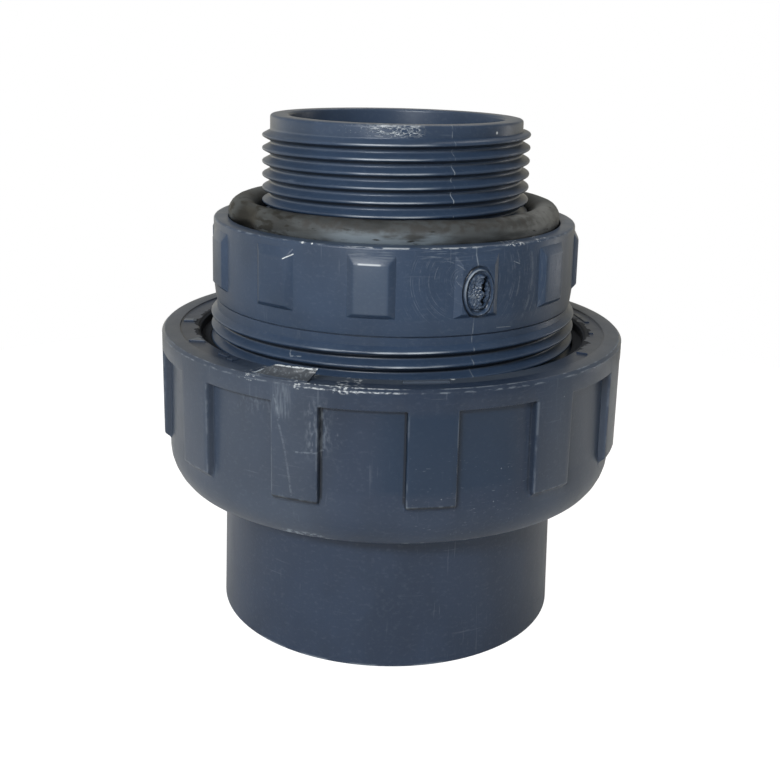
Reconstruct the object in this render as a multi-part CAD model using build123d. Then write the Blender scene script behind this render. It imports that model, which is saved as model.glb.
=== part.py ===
from build123d import *
import os

# Union coupling for 50 mm plastic pressure pipe: a male parallel thread on one side, a
# solvent-weld socket on the other, and a nut that draws the two together on a rubber ring.
# Millimetres. The origin is the centre of the socket's mouth, the rim that it stands on.
# +Z runs up the axis to the male thread, and -Y is the side that faces forward.

# ---- flow path -------------------------------------------------------------------------
FLOW_R = 19.2            # bore behind the male thread
THROAT_R = 22.5          # wider bore of the threaded body at its seat
TAIL_FLOW_R = 21.5       # bore through the end wall of the socket
TAPER_FOOT = 52.0        # the threaded body's bore narrows from here ...
TAPER_HEAD = 60.0        # ... to here

# ---- socket end ------------------------------------------------------------------------
SOCKET_R = 25.1          # for 50 mm pipe
SOCKET_DEPTH = 31.0
SOCKET_LEAD = 1.0        # chamfer that guides the pipe in
SOCKET_MOUTH_R = 30.75   # outside, at the mouth
SOCKET_NECK_R = 30.3     # outside, under the flange: the mould's draft
SOCKET_RIM_EDGE = 0.15   # its outer edge there is nearly sharp
FLANGE_R = 31.45         # the ledge that the nut pulls on
FLANGE_T = 5.0
SEAT_Z = SOCKET_DEPTH + FLANGE_T

# ---- union thread, shared by the threaded body and the nut ------------------------------
UNION_R = 33.0           # crest of the male thread
UNION_FIT = 0.1          # radial play of the nut on it
UNION_MINOR_R = 31.3     # pilot below the first thread
UNION_FOOT = 39.1        # first full thread
UNION_HEAD = 56.2        # last full thread
PLAY = 0.05              # small gap left between faces that slide or turn on each other

# ---- threaded body -----------------------------------------------------------------------
BODY_FOOT = SEAT_Z + 2 * PLAY
BAND_R = 31.95           # plain band between union thread and collar
COLLAR_R = 32.45
COLLAR_FOOT = 57.8
COLLAR_HEAD = 72.0
COLLAR_FOOT_R = 32.15
COLLAR_DRAFT_H = 2.6     # height over which the collar's foot draws in
COLLAR_RIM_R = 29.8      # inner wall of the rim round the rubber ring
RING_FLOOR = 70.15       # floor that the rubber ring lies on
NECK_R = 24.4
NECK_HEAD = 75.45
MALE_R = 23.9            # crest of the 1 1/2 inch parallel pipe thread
MALE_HEAD = 86.9
PILOT_R = 22.5
PILOT_FOOT = 87.6
TOP_Z = 89.95
EDGE = 0.5               # ordinary broken edge

# ---- grip pads on the collar ---------------------------------------------------------------
GRIP_COUNT = 12          # pads on the collar, and ribs on the nut
PAD_PHASE = -6.0         # degrees from the front towards +X
PAD_R = 33.2
PAD_ROOT_R = 31.6        # the pads start inside the collar wall
PAD_FACE = (5.6, 61.35, 69.2)    # width, foot and head of the flat face
PAD_BASE = (7.9, 60.6, 70.7)     # the same where the slopes meet the collar

# ---- union nut -----------------------------------------------------------------------------
NUT_FOOT = 26.0
NUT_TOP = 52.1
NUT_BAND_R = 41.75
NUT_BAND_FOOT = 48.6
RIB_R = 41.55
RIB_PHASE = 9.3
RIB_SPAN = 11.0          # degrees
RIB_FOOT = 33.1
PANEL_R = 40.25          # sunk panels between the ribs
PANEL_FOOT = 34.6        # below this the panels sweep out ...
PANEL_SWEEP = 6.0
SHOULDER_R = 40.5        # ... to the shoulder
SHOULDER_TOP = 32.2
SHOULDER_CORNER = 27.9   # where the foot's slope would meet the shoulder's wall
SHOULDER_ROUND = 6.2
NUT_FOOT_R = 38.6
NUT_LIP_R = 30.95        # opening that slips over the socket
NUT_LIP_TOP = SOCKET_DEPTH - PLAY
NUT_HOLD_R = 31.7        # room for the flange
NUT_THREAD_FOOT = 37.4
NUT_THREAD_HEAD = 49.9
NUT_MOUTH_R = 35.0
NUT_DISH_R = 38.6        # the top face is sunk inside this circle
NUT_DISH = 0.35

# ---- rubber rings ----------------------------------------------------------------------------
FACE_RING_R = 27.1       # centre circle of the ring at the male thread
FACE_RING_SECTION_R = 2.65
FACE_RING_Z = 72.7
SEAT_RING_R = 27.5
SEAT_RING_SECTION_R = 1.77
SEAT_GROOVE = (25.55, 29.45)     # inner and outer wall of its groove
SEAT_GROOVE_H = 2.9


def turned(corners, arc=360):
    """A solid of revolution about Z from (radius, height) or (radius, height, round) corners."""
    places = [(corner[0], 0, corner[1]) for corner in corners]
    rounds = [corner[2] if len(corner) > 2 else 0 for corner in corners]
    outline = FilletPolyline(*places, radius=rounds, close=True)
    return revolve(make_face(outline), Axis.Z, arc)


def around(piece, count, phase):
    """Copies of a piece that lies along +X, spread evenly and turned from the front."""
    return [Rot(0, 0, phase - 90 + 360 * i / count) * piece for i in range(count)]


def squeezed_ring(centre_r, section_r, centre_z, low, high):
    """A round-section rubber ring, flattened where it bears on the faces at low and high."""
    ring = Pos(0, 0, centre_z) * Torus(centre_r, section_r)
    slab = Pos(0, 0, (low + high) / 2) * Cylinder(centre_r + 2 * section_r, high - low)
    return ring & slab


def socket_end():
    """Plain socket with the flange that the nut holds."""
    return turned([
        (SOCKET_R + SOCKET_LEAD, 0),
        (SOCKET_MOUTH_R, 0, SOCKET_RIM_EDGE),
        (SOCKET_NECK_R, SOCKET_DEPTH),
        (FLANGE_R, SOCKET_DEPTH),
        (FLANGE_R, SEAT_Z, EDGE),
        (TAIL_FLOW_R, SEAT_Z, EDGE),
        (TAIL_FLOW_R, SOCKET_DEPTH),
        (SOCKET_R, SOCKET_DEPTH),
        (SOCKET_R, SOCKET_LEAD),
    ])


def grip_pad():
    """One raised pad with sloped sides, on the +X side of the collar."""
    def level(radius, width, foot, head):
        plane = Plane(origin=(radius, 0, (foot + head) / 2), x_dir=(0, 1, 0), z_dir=(1, 0, 0))
        return plane * Rectangle(width, head - foot)

    # the slopes are carried on below the collar's surface, so that pad and wall share volume
    reach = (COLLAR_R - PAD_ROOT_R) / (PAD_R - COLLAR_R)
    width, foot, head = [base + reach * (base - face) for base, face in zip(PAD_BASE, PAD_FACE)]
    return loft([level(PAD_ROOT_R, width, foot, head), level(PAD_R, *PAD_FACE)], ruled=True)


def threaded_body():
    """Collar, union thread below it and male pipe thread above it, in one moulding."""
    groove_in, groove_out = SEAT_GROOVE
    groove_top = BODY_FOOT + SEAT_GROOVE_H
    body = turned([
        (THROAT_R, BODY_FOOT, EDGE),
        (groove_in, BODY_FOOT),
        (groove_in, groove_top),
        (groove_out, groove_top),
        (groove_out, BODY_FOOT),
        (UNION_MINOR_R, BODY_FOOT),
        (UNION_MINOR_R, UNION_FOOT - (UNION_R - UNION_MINOR_R)),
        (UNION_R, UNION_FOOT),
        (UNION_R, UNION_HEAD),
        (BAND_R, UNION_HEAD + (UNION_R - BAND_R)),
        (BAND_R, COLLAR_FOOT),
        (COLLAR_FOOT_R, COLLAR_FOOT),
        (COLLAR_R, COLLAR_FOOT + COLLAR_DRAFT_H, 2 * COLLAR_DRAFT_H),
        (COLLAR_R, COLLAR_HEAD, EDGE),
        (COLLAR_RIM_R, COLLAR_HEAD),
        (COLLAR_RIM_R, RING_FLOOR),
        (NECK_R, RING_FLOOR),
        (NECK_R, NECK_HEAD),
        (MALE_R, NECK_HEAD),
        (MALE_R, MALE_HEAD),
        (PILOT_R, PILOT_FOOT),
        (PILOT_R, TOP_Z, EDGE),
        (FLOW_R, TOP_Z, EDGE),
        (FLOW_R, TAPER_HEAD),
        (THROAT_R, TAPER_FOOT),
    ])
    return body + around(grip_pad(), GRIP_COUNT, PAD_PHASE)


def union_nut():
    """Ribbed nut with an inner lip that pulls on the socket's flange."""
    shell = turned([
        (NUT_LIP_R + EDGE, NUT_FOOT),
        (NUT_FOOT_R, NUT_FOOT),
        (SHOULDER_R, SHOULDER_CORNER, SHOULDER_ROUND),
        (SHOULDER_R, SHOULDER_TOP),
        (PANEL_R, PANEL_FOOT, PANEL_SWEEP),
        (PANEL_R, NUT_BAND_FOOT),
        (RIB_R, NUT_BAND_FOOT),
        (NUT_BAND_R, NUT_TOP - EDGE),
        (NUT_BAND_R - EDGE, NUT_TOP),
        (NUT_DISH_R, NUT_TOP),
        (NUT_DISH_R, NUT_TOP - NUT_DISH),
        (NUT_MOUTH_R, NUT_TOP - NUT_DISH),
        (UNION_R + UNION_FIT, NUT_THREAD_HEAD),
        (UNION_R + UNION_FIT, NUT_THREAD_FOOT),
        (NUT_HOLD_R, NUT_THREAD_FOOT),
        (NUT_HOLD_R, NUT_LIP_TOP),
        (NUT_LIP_R, NUT_LIP_TOP),
        (NUT_LIP_R, NUT_FOOT + EDGE),
    ])
    rib_depth = RIB_R - PANEL_R
    root_r = PANEL_R - rib_depth
    rib = turned([
        (root_r, RIB_FOOT - 2 * rib_depth),
        (RIB_R, RIB_FOOT),
        (RIB_R, NUT_BAND_FOOT + EDGE),
        (root_r, NUT_BAND_FOOT + EDGE),
    ], RIB_SPAN)
    centred_rib = Rot(0, 0, -RIB_SPAN / 2) * rib
    return shell + around(centred_rib, GRIP_COUNT, RIB_PHASE)


def face_seal_ring():
    """Rubber ring in the collar's rim, which seals on the face of the port."""
    top = FACE_RING_Z + FACE_RING_SECTION_R + EDGE
    return squeezed_ring(FACE_RING_R, FACE_RING_SECTION_R, FACE_RING_Z, RING_FLOOR, top)


def seat_seal_ring():
    """Rubber ring squeezed between the threaded body's groove and the socket's flange."""
    low = SEAT_Z + PLAY
    high = BODY_FOOT + SEAT_GROOVE_H
    return squeezed_ring(SEAT_RING_R, SEAT_RING_SECTION_R, (low + high) / 2, low, high)


os.makedirs("parts", exist_ok=True)
for maker in (socket_end, threaded_body, union_nut, face_seal_ring, seat_seal_ring):
    part = maker()
    part.label = maker.__name__
    export_step(part, f"parts/{maker.__name__}.step")
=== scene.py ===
import bmesh
import bpy
import math
from mathutils import Matrix, Vector, noise


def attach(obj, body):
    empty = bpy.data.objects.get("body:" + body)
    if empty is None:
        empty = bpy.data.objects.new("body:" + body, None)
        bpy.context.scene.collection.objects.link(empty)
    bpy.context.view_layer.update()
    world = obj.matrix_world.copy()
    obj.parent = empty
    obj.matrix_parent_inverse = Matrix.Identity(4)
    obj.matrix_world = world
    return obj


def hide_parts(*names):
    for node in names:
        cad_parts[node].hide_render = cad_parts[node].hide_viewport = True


# Union coupling for 50 mm plastic pipe: threaded body, ribbed nut, socket and two rubber rings.
# Lengths are millimetres while a piece is being shaped and become metres when it is finished.
# Angles are degrees from the front (-Y) towards the right (+X).

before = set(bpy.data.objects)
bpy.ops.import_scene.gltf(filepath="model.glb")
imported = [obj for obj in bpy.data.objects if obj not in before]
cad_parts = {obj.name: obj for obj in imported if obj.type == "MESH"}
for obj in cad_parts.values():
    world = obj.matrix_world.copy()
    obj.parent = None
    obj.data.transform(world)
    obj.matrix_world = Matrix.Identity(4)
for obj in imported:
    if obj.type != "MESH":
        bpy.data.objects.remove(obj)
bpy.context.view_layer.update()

MM = 0.001
COLUMNS = 240            # faces round a full turn of a turned wall
MEET = 1e-4              # points nearer than this are one
SEAM = 1e-3              # the same where a long spin comes round to its start
SLIVER = 0.08            # the same along the cut ends of a thread
EDGE = 0.5               # ordinary broken edge
SMALL_EDGE = 0.2
SMOOTH_UP_TO = 32        # degrees between faces that are shaded as one

# ---- threads ----
PITCH = 2.309            # both threads, right-hand
THREAD_TILT = 62.5       # degrees by which the flanks lean from the axis' direction
THREAD_ROUND, THREAD_DEPTH = 0.1373, 0.6403     # of the crests and roots, in pitches

# ---- threaded body ----
MALE_R, MALE_ROOT_R = 23.9, 22.46
MALE_FOOT, MALE_HEAD = 72.0, 87.75
MALE_FRONT_CREST = 75.27         # height of one crest at the front
MALE_THREAD_END = 87.8
PILOT_R, TOP_Z = 22.5, 89.95
FLOW_R, THROAT_R = 19.2, 22.5
TAPER_HEAD, TAPER_FOOT = 60.0, 52.0
BODY_FOOT = 36.1
GROOVE_R, GROOVE_TOP = (25.55, 29.45), 39.0
UNION_R, UNION_ROOT_R = 33.0, 31.5
UNION_FOOT, UNION_HEAD = 38.0, 57.2
UNION_FRONT_CREST = 55.25
UNION_THREAD_START, UNION_THREAD_END = 39.4, 56.25
BAND_R = 31.95
COLLAR_FOOT, COLLAR_FOOT_R, COLLAR_DRAFT = 57.8, 32.15, 2.6
FOOT_GROOVE = (0.3, 0.25)        # height and depth of the dark line below the collar
COLLAR_R, COLLAR_HEAD = 32.45, 72.0
RIM_R, RING_FLOOR = 29.8, 70.15
NECK_R = 23.9
PARTING = 23.5                   # angle of the mould's parting line
MALE_THREAD_MARKS = (73.5, MALE_HEAD)    # heights over which each thread gets painted shade, painted highlights and wear
UNION_THREAD_MARKS = (UNION_FOOT, 55.75)

# ---- grip pads ----
GRIP_COUNT = 12                  # pads on the collar, and ribs on the nut
PAD_PHASE = -6.0
PAD_R = 33.2
PAD_FACE = (5.6, 61.35, 69.2)    # width, foot and head of the raised face
PAD_BASE = (7.9, 60.6, 70.7)     # the same where its slopes meet the collar
PAD_BURIED = 0.5
PAD_BEVEL = 0.16

# ---- gate ----
GATE_PAD = 24.0                  # angle of the pad that the moulding was fed through
GATE_ANGLE, GATE_Z = 24.05, 64.75
GATE_HALF = (2.55, 3.9)          # half width and half height of the ring left round the cut
GATE_LIP = 0.38

# ---- union nut ----
NUT_FOOT, NUT_TOP = 26.0, 52.1
NUT_BAND_R, NUT_BAND_FOOT = 41.75, 48.6
RIB_PHASE, RIB_SPAN = 9.3, 11.0
RIB_R, RIB_FOOT = 41.6, 33.1
RIB_BEVEL = 0.28
PANEL_R, PANEL_FOOT = 40.25, 34.6    # the panels sweep out to the shoulder below their foot
PANEL_SWEEP = 6.0
SHOULDER_R, SHOULDER_TOP = 40.5, 32.2
SHOULDER_CORNER, SHOULDER_ROUND = 27.9, 6.2
NUT_FOOT_R = 38.6
LIP_R, LIP_TOP = 30.95, 30.95
HOLD_R = 31.7
NUT_CREST_R, NUT_ROOT_R = 31.65, 33.12
NUT_THREAD_FOOT, NUT_THREAD_HEAD = 37.4, 49.9
MOUTH_R, MOUTH_CHAMFER = 35.4, 0.45
DISH_R, DISH = 38.6, 0.35
DISH_FLOOR = NUT_TOP - DISH
MARK_RISE, MARK_BURIED, MARK_BEVEL = 0.25, 0.2, 0.08     # raised mould marks on the dish

# ---- shaving torn up from the nut's top edge: (angle, radius, height) of its corners ----
FLAP_BASE = (-32.6, 41.5, 51.7), (-18.3, 41.45, 51.9)
FLAP_TIP = (-32.4, 39.9, 53.8), (-16.4, 39.3, 53.95)
FLAP_RISE = 0.38                 # share of its length over which it rises at the left
FLAP_THICKNESS = 0.28

# ---- face ring ----
RING_R, RING_SECTION_R, RING_Z = 27.15, 2.6, 72.75
RING_SHIFT = 0.12
RING_FACES = 28                  # round the ring's section
DENT_ANGLE, DENT_SPREAD, DENT = -61, 8, 1.5

SOCKET_R = 30.5                  # outside of the socket, which keeps its CAD shape


def polar(angle, radius, height):
    """The point at an angle from the front, a radius and a height."""
    turn = math.radians(angle)
    return Vector((radius * math.sin(turn), -radius * math.cos(turn), height))


def angle_of(point):
    """The angle of a point from the front."""
    return math.degrees(math.atan2(point.x, -point.y))


def smooth(share):
    """0 below 0, 1 above 1 and an even S between them."""
    share = min(max(share, 0), 1)
    return share * share * (3 - 2 * share)


def rounded(corners, steps=4):
    """Points of an outline of (radius, height, round) corners, with the rounds as arcs."""
    points = []
    for number, (radius, height, size) in enumerate(corners):
        corner = Vector((radius, height))
        if not size:
            points.append(corner)
            continue
        back = (Vector(corners[number - 1][:2]) - corner).normalized()
        onward = (Vector(corners[number + 1][:2]) - corner).normalized()
        reach = size / math.tan(back.angle(onward) / 2)
        for step in range(steps + 1):
            turn = math.pi / 2 * step / steps
            points.append(corner + back * (reach * (1 - math.sin(turn)))
                          + onward * (reach * (1 - math.cos(turn))))
    return points


def outline(bm, points, angle=0, close=False):
    """Joins outline points by edges, in the plane at an angle from the front."""
    made = [bm.verts.new(polar(angle, radius, height)) for radius, height in points]
    ends = made[1:] + made[:1] if close else made[1:]
    return made + [bm.edges.new(pair) for pair in zip(made, ends)]


def outward(bm):
    """Turns the faces' normals outward."""
    bmesh.ops.recalc_face_normals(bm, faces=bm.faces)


def turned(points):
    """A closed outline of (radius, height) points turned round the axis."""
    bm = bmesh.new()
    wire = outline(bm, points, close=True)
    bmesh.ops.spin(bm, geom=wire, cent=(0, 0, 0), axis=(0, 0, 1), angle=math.tau,
                   steps=COLUMNS, use_merge=True)
    bmesh.ops.remove_doubles(bm, verts=bm.verts, dist=MEET)
    outward(bm)
    return bm


def as_mesh(name, bm):
    """Turns a bmesh into a mesh."""
    mesh = bpy.data.meshes.new(name)
    bm.to_mesh(mesh)
    bm.free()
    return mesh


def placed(name, data):
    """A new object in the scene."""
    item = bpy.data.objects.new(name, data)
    bpy.context.scene.collection.objects.link(item)
    return item


def joined(*parts):
    """Several bmeshes as one."""
    whole = bmesh.new()
    for part in parts:
        mesh = as_mesh("part", part)
        whole.from_mesh(mesh)
        bpy.data.meshes.remove(mesh)
    return whole


def break_edges(bm, edges, width, segments=2):
    """Bevels sharp edges."""
    bmesh.ops.bevel(bm, geom=edges, offset=width, offset_type="OFFSET", segments=segments,
                    profile=0.5, affect="EDGES", material=-1)


def level_rim(bm, height):
    """The open edges that lie at a height."""
    return [edge for edge in bm.edges if edge.is_boundary
            and all(abs(vert.co.z - height) < SEAM for vert in edge.verts)]


def carry(bm, rim, points):
    """Carries an open level rim on through outline points and gives the last rim."""
    for radius, height in points:
        made = bmesh.ops.extrude_edge_only(bm, edges=rim)["geom"]
        fresh = {item for item in made if isinstance(item, bmesh.types.BMVert)}
        for vert in fresh:
            vert.co = polar(angle_of(vert.co), radius, height)
        rim = [item for item in made if isinstance(item, bmesh.types.BMEdge)
               and fresh.issuperset(item.verts)]
    return rim


def carry_in(bm, rim, radius):
    """Carries an open edge straight in to a radius and gives the new edge."""
    made = bmesh.ops.extrude_edge_only(bm, edges=rim)["geom"]
    for vert in made:
        if isinstance(vert, bmesh.types.BMVert):
            vert.co = polar(angle_of(vert.co), radius, vert.co.z)
    return [item for item in made if isinstance(item, bmesh.types.BMEdge) and item.is_boundary]


def thread_section(steps=3):
    """(height, rise) from one root to the next, as shares of the pitch and of the depth."""
    crest, root_above, root_below = [], [], []
    for step in range(-steps, steps + 1):
        tilt = math.radians(THREAD_TILT) * step / steps
        aside = THREAD_ROUND * math.sin(tilt)
        drop = THREAD_ROUND * (1 - math.cos(tilt)) / THREAD_DEPTH
        crest.append((0.5 + aside, 1 - drop))
        if step < 0:
            root_above.append((1 + aside, drop))
        else:
            root_below.append((aside, drop))
    return root_below + crest + root_above


def threaded_wall(crest_r, root_r, foot, head, front_crest, start, end, head_r):
    """The wall of a male thread between two levels, with level rims.

    front_crest is the height of one crest at the front. The crest rises out of the root at
    the height start and sinks in again at end, above which the wall is plain, at head_r.
    """
    bm = bmesh.new()
    below = math.floor((foot - front_crest) / PITCH) - 1.5
    turns = math.ceil((head - foot) / PITCH) + 3
    points = [(root_r + (crest_r - root_r) * rise, front_crest + (below + turn + up) * PITCH)
              for turn in range(turns) for up, rise in thread_section()]
    bmesh.ops.spin(bm, geom=outline(bm, points), cent=(0, 0, 0), axis=(0, 0, 1),
                   dvec=(0, 0, PITCH / COLUMNS), angle=math.tau, steps=COLUMNS)
    bmesh.ops.remove_doubles(bm, verts=bm.verts, dist=SEAM)
    run_out = PITCH / 14
    for vert in bm.verts:
        angle = angle_of(vert.co)
        turn = (vert.co.z - front_crest) / PITCH - angle / 360
        crest = front_crest + PITCH * (round(turn) + angle / 360)
        share = smooth((crest - start) / run_out) * smooth((end - crest) / run_out)
        radius = root_r + (vert.co.xy.length - root_r) * share
        if crest > end or (crest > end - PITCH and vert.co.z > crest):
            radius = max(radius, head_r)
        vert.co = polar(angle, radius, vert.co.z)
    for level, side in ((foot, -1), (head, 1)):
        bmesh.ops.bisect_plane(bm, geom=bm.verts[:] + bm.edges[:] + bm.faces[:],
                               plane_co=(0, 0, level), plane_no=(0, 0, side),
                               clear_outer=True)
    for level in (foot, head):
        verts = {vert for edge in level_rim(bm, level) for vert in edge.verts}
        verts = sorted(verts, key=lambda vert: (angle_of(vert.co), vert.co.xy.length))
        bmesh.ops.remove_doubles(bm, verts=verts, dist=SLIVER)
    return bm


def grip_pad(angle):
    """One raised pad with sloped sides, wrapped on the collar."""
    bm = bmesh.new()
    bmesh.ops.create_grid(bm, x_segments=6, y_segments=1, size=0.5)
    made = bmesh.ops.extrude_face_region(bm, geom=bm.faces[:])["geom"]
    top = {item for item in made if isinstance(item, bmesh.types.BMVert)}
    slope = 1 + PAD_BURIED / (PAD_R - COLLAR_R)
    for vert in bm.verts:
        width, foot, head = PAD_FACE
        radius = PAD_R
        if vert not in top:
            width, foot, head = [face + slope * (base - face)
                                 for base, face in zip(PAD_BASE, PAD_FACE)]
            radius = COLLAR_R - PAD_BURIED
        aside = math.degrees(vert.co.x * width / PAD_R)
        vert.co = polar(angle + aside, radius, foot + (vert.co.y + 0.5) * (head - foot))
    outward(bm)
    sharp = [edge for edge in bm.edges if edge.calc_face_angle(0) > 0.35]
    break_edges(bm, sharp, PAD_BEVEL)
    return bm


def gate_relief(aside, up):
    """Height over the pad of the cut gate, at a place measured from its middle."""
    reach = math.hypot(aside / GATE_HALF[0], up / GATE_HALF[1])
    rough = noise.noise(Vector((aside * 1.1, up * 0.8, 3.0)))
    fine = noise.noise(Vector((aside * 3.1, up * 3.1, 9.0)))
    wander = reach - 0.94 - 0.03 * rough
    lip = GATE_LIP * math.exp(-(wander / 0.045) ** 2)
    grooves = 0.22 * math.exp(-((wander - 0.13) / 0.05) ** 2)
    grooves += 0.25 * math.exp(-((wander + 0.15) / 0.06) ** 2)
    inside = smooth((0.9 - reach) / 0.12)
    floor = 0.1 + 0.25 * rough + 0.12 * fine
    crumbs = 0.5 * smooth((1.2 - math.hypot(aside - 0.1, up)) / 0.5) * max(fine, 0)
    torn = aside - 0.8 - 0.6 * noise.noise(Vector((0.5, up * 1.5, 5.0)))
    hole = smooth((0.42 - abs(torn)) / 0.2) * smooth((2.4 - abs(up - 0.1)) / 0.4)
    bridge = smooth((0.4 - abs(up + 0.35)) / 0.25)
    ridge = 0.3 * math.exp(-((up - 2.3 - 0.35 * aside) / 0.14) ** 2) * smooth(aside / 0.4)
    cut = 0.3 * math.exp(-((up + 2.75) / 0.13) ** 2)
    return lip - grooves + inside * (floor + crumbs + ridge - cut - 1.1 * hole * (1 - bridge))


def gate_pad(columns=120, rows=150):
    """The pad with what is left of the gate on it."""
    bm = bmesh.new()
    bmesh.ops.create_grid(bm, x_segments=columns, y_segments=rows, size=0.5)
    half_face, half_base = PAD_FACE[0] / 2, PAD_BASE[0] / 2
    low, high = PAD_BASE[1] - 0.4, PAD_BASE[2] + 0.4
    for vert in bm.verts:
        aside = vert.co.x * (PAD_BASE[0] + 1)
        height = low + (vert.co.y + 0.5) * (high - low)
        slope = min((half_base - abs(aside)) / (half_base - half_face),
                    (height - PAD_BASE[1]) / (PAD_FACE[1] - PAD_BASE[1]),
                    (PAD_BASE[2] - height) / (PAD_BASE[2] - PAD_FACE[2]), 1)
        radius = COLLAR_R + max(slope * (PAD_R - COLLAR_R), -0.3)
        angle = GATE_PAD + math.degrees(aside / PAD_R)
        off_gate = math.radians(angle - GATE_ANGLE) * PAD_R
        if slope > -0.3:
            radius += gate_relief(off_gate, height - GATE_Z)
        vert.co = polar(angle, radius, height)
    border = [edge for edge in bm.edges if edge.is_boundary]
    back = carry_in(bm, border, COLLAR_R - 0.7)
    bmesh.ops.holes_fill(bm, edges=back, sides=0)
    outward(bm)
    return bm


def threaded_body():
    """Male thread, collar and union thread as one moulding."""
    male = threaded_wall(MALE_R, MALE_ROOT_R, MALE_FOOT, MALE_HEAD, MALE_FRONT_CREST,
                         MALE_FOOT - PITCH, MALE_THREAD_END, PILOT_R)
    inside = carry(male, level_rim(male, MALE_HEAD), rounded([
        (PILOT_R, MALE_HEAD + 0.1, 0),
        (PILOT_R, TOP_Z, EDGE),
        (FLOW_R, TOP_Z, EDGE),
        (FLOW_R, TAPER_HEAD, 0),
        (THROAT_R, TAPER_FOOT, 0),
        (THROAT_R, BODY_FOOT, EDGE),
        (THROAT_R + 2 * EDGE, BODY_FOOT, 0),
    ]))
    for edge in inside:
        for vert in edge.verts:
            vert.co.z = BODY_FOOT
    carry(male, level_rim(male, MALE_FOOT), [(NECK_R, MALE_FOOT - 0.1), (NECK_R, RING_FLOOR)])
    union = threaded_wall(UNION_R, UNION_ROOT_R, UNION_FOOT, UNION_HEAD, UNION_FRONT_CREST,
                          UNION_THREAD_START, UNION_THREAD_END, BAND_R)
    carry(union, level_rim(union, UNION_HEAD), rounded([
        (BAND_R, COLLAR_FOOT - FOOT_GROOVE[0], 0),
        (BAND_R - FOOT_GROOVE[1], COLLAR_FOOT - FOOT_GROOVE[0], 0),
        (BAND_R - FOOT_GROOVE[1], COLLAR_FOOT, 0),
        (COLLAR_FOOT_R, COLLAR_FOOT, 0),
        (COLLAR_R, COLLAR_FOOT + COLLAR_DRAFT, 2 * COLLAR_DRAFT),
        (COLLAR_R, COLLAR_HEAD, EDGE),
        (RIM_R, COLLAR_HEAD, SMALL_EDGE),
        (RIM_R, RING_FLOOR, 0),
    ]))
    carry(union, level_rim(union, UNION_FOOT), [
        (UNION_ROOT_R, BODY_FOOT),
        (GROOVE_R[1], BODY_FOOT),
        (GROOVE_R[1], GROOVE_TOP),
        (GROOVE_R[0], GROOVE_TOP),
        (GROOVE_R[0], BODY_FOOT),
    ])
    body = joined(male, union)
    for level in (RING_FLOOR, BODY_FOOT):
        bmesh.ops.bridge_loops(body, edges=level_rim(body, level))
    outward(body)
    angles = [PAD_PHASE + 360 * number / GRIP_COUNT for number in range(GRIP_COUNT)]
    pads = [grip_pad(angle) for angle in angles if angle != GATE_PAD]
    return joined(body, gate_pad(), *pads)


def nut_shell():
    """The nut without its thread: every twelfth of it is one rib and one sunk panel."""
    shared = rounded([
        (NUT_ROOT_R, NUT_THREAD_HEAD, 0),
        (NUT_ROOT_R + 0.1, NUT_THREAD_HEAD + 0.1, 0),
        (MOUTH_R - MOUTH_CHAMFER - 0.1, NUT_THREAD_HEAD + 0.1, 0),
        (MOUTH_R - MOUTH_CHAMFER, DISH_FLOOR - MOUTH_CHAMFER, 0),
        (MOUTH_R, DISH_FLOOR, SMALL_EDGE / 2),
        (DISH_R, DISH_FLOOR, SMALL_EDGE),
        (DISH_R, NUT_TOP, SMALL_EDGE / 2),
        (NUT_BAND_R - EDGE, NUT_TOP, SMALL_EDGE),
        (NUT_BAND_R, NUT_TOP - EDGE, SMALL_EDGE),
        (NUT_BAND_R, NUT_BAND_FOOT, 0),
    ])
    panel = rounded([
        (PANEL_R, NUT_BAND_FOOT, 0),
        (PANEL_R, PANEL_FOOT, PANEL_SWEEP),
        (SHOULDER_R, SHOULDER_TOP, 0),
    ])[:-1]
    rib = [Vector((RIB_R, RIB_FOOT))]
    below = rounded([
        (SHOULDER_R, SHOULDER_TOP, 0),
        (SHOULDER_R, SHOULDER_CORNER, SHOULDER_ROUND),
        (NUT_FOOT_R, NUT_FOOT, SMALL_EDGE),
        (LIP_R + EDGE, NUT_FOOT, 0),
        (LIP_R, NUT_FOOT + EDGE, 0),
        (LIP_R, LIP_TOP, 0),
        (HOLD_R, LIP_TOP, 0),
        (HOLD_R, NUT_THREAD_FOOT, 0),
    ])
    pitch = 360 / GRIP_COUNT
    bm = bmesh.new()
    for middle, start, span in ((rib, RIB_PHASE - RIB_SPAN / 2, RIB_SPAN),
                                (panel, RIB_PHASE + RIB_SPAN / 2, pitch - RIB_SPAN)):
        steps = round(span * COLUMNS / 360)
        bmesh.ops.spin(bm, geom=outline(bm, shared + middle + below, start), cent=(0, 0, 0),
                       axis=(0, 0, 1), angle=math.radians(span), steps=steps)
    bmesh.ops.spin(bm, geom=bm.verts[:] + bm.edges[:] + bm.faces[:], cent=(0, 0, 0),
                   axis=(0, 0, 1), angle=math.radians(360 - pitch), steps=GRIP_COUNT - 1,
                   use_duplicate=True)
    bmesh.ops.remove_doubles(bm, verts=bm.verts, dist=SEAM)
    walls = [edge for edge in bm.edges if edge.is_boundary
             and edge.verts[0].co.xy.length > PANEL_R - 1]
    bmesh.ops.holes_fill(bm, edges=walls, sides=0)
    outward(bm)
    sharp = [edge for edge in bm.edges if not edge.is_boundary and edge.calc_face_angle(0) > 0.3
             and all(vert.co.xy.length > PANEL_R - 0.1
                     and SHOULDER_TOP - 0.1 < vert.co.z < NUT_BAND_FOOT + 0.1
                     for vert in edge.verts)]
    break_edges(bm, sharp, RIB_BEVEL)
    return bm


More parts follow.
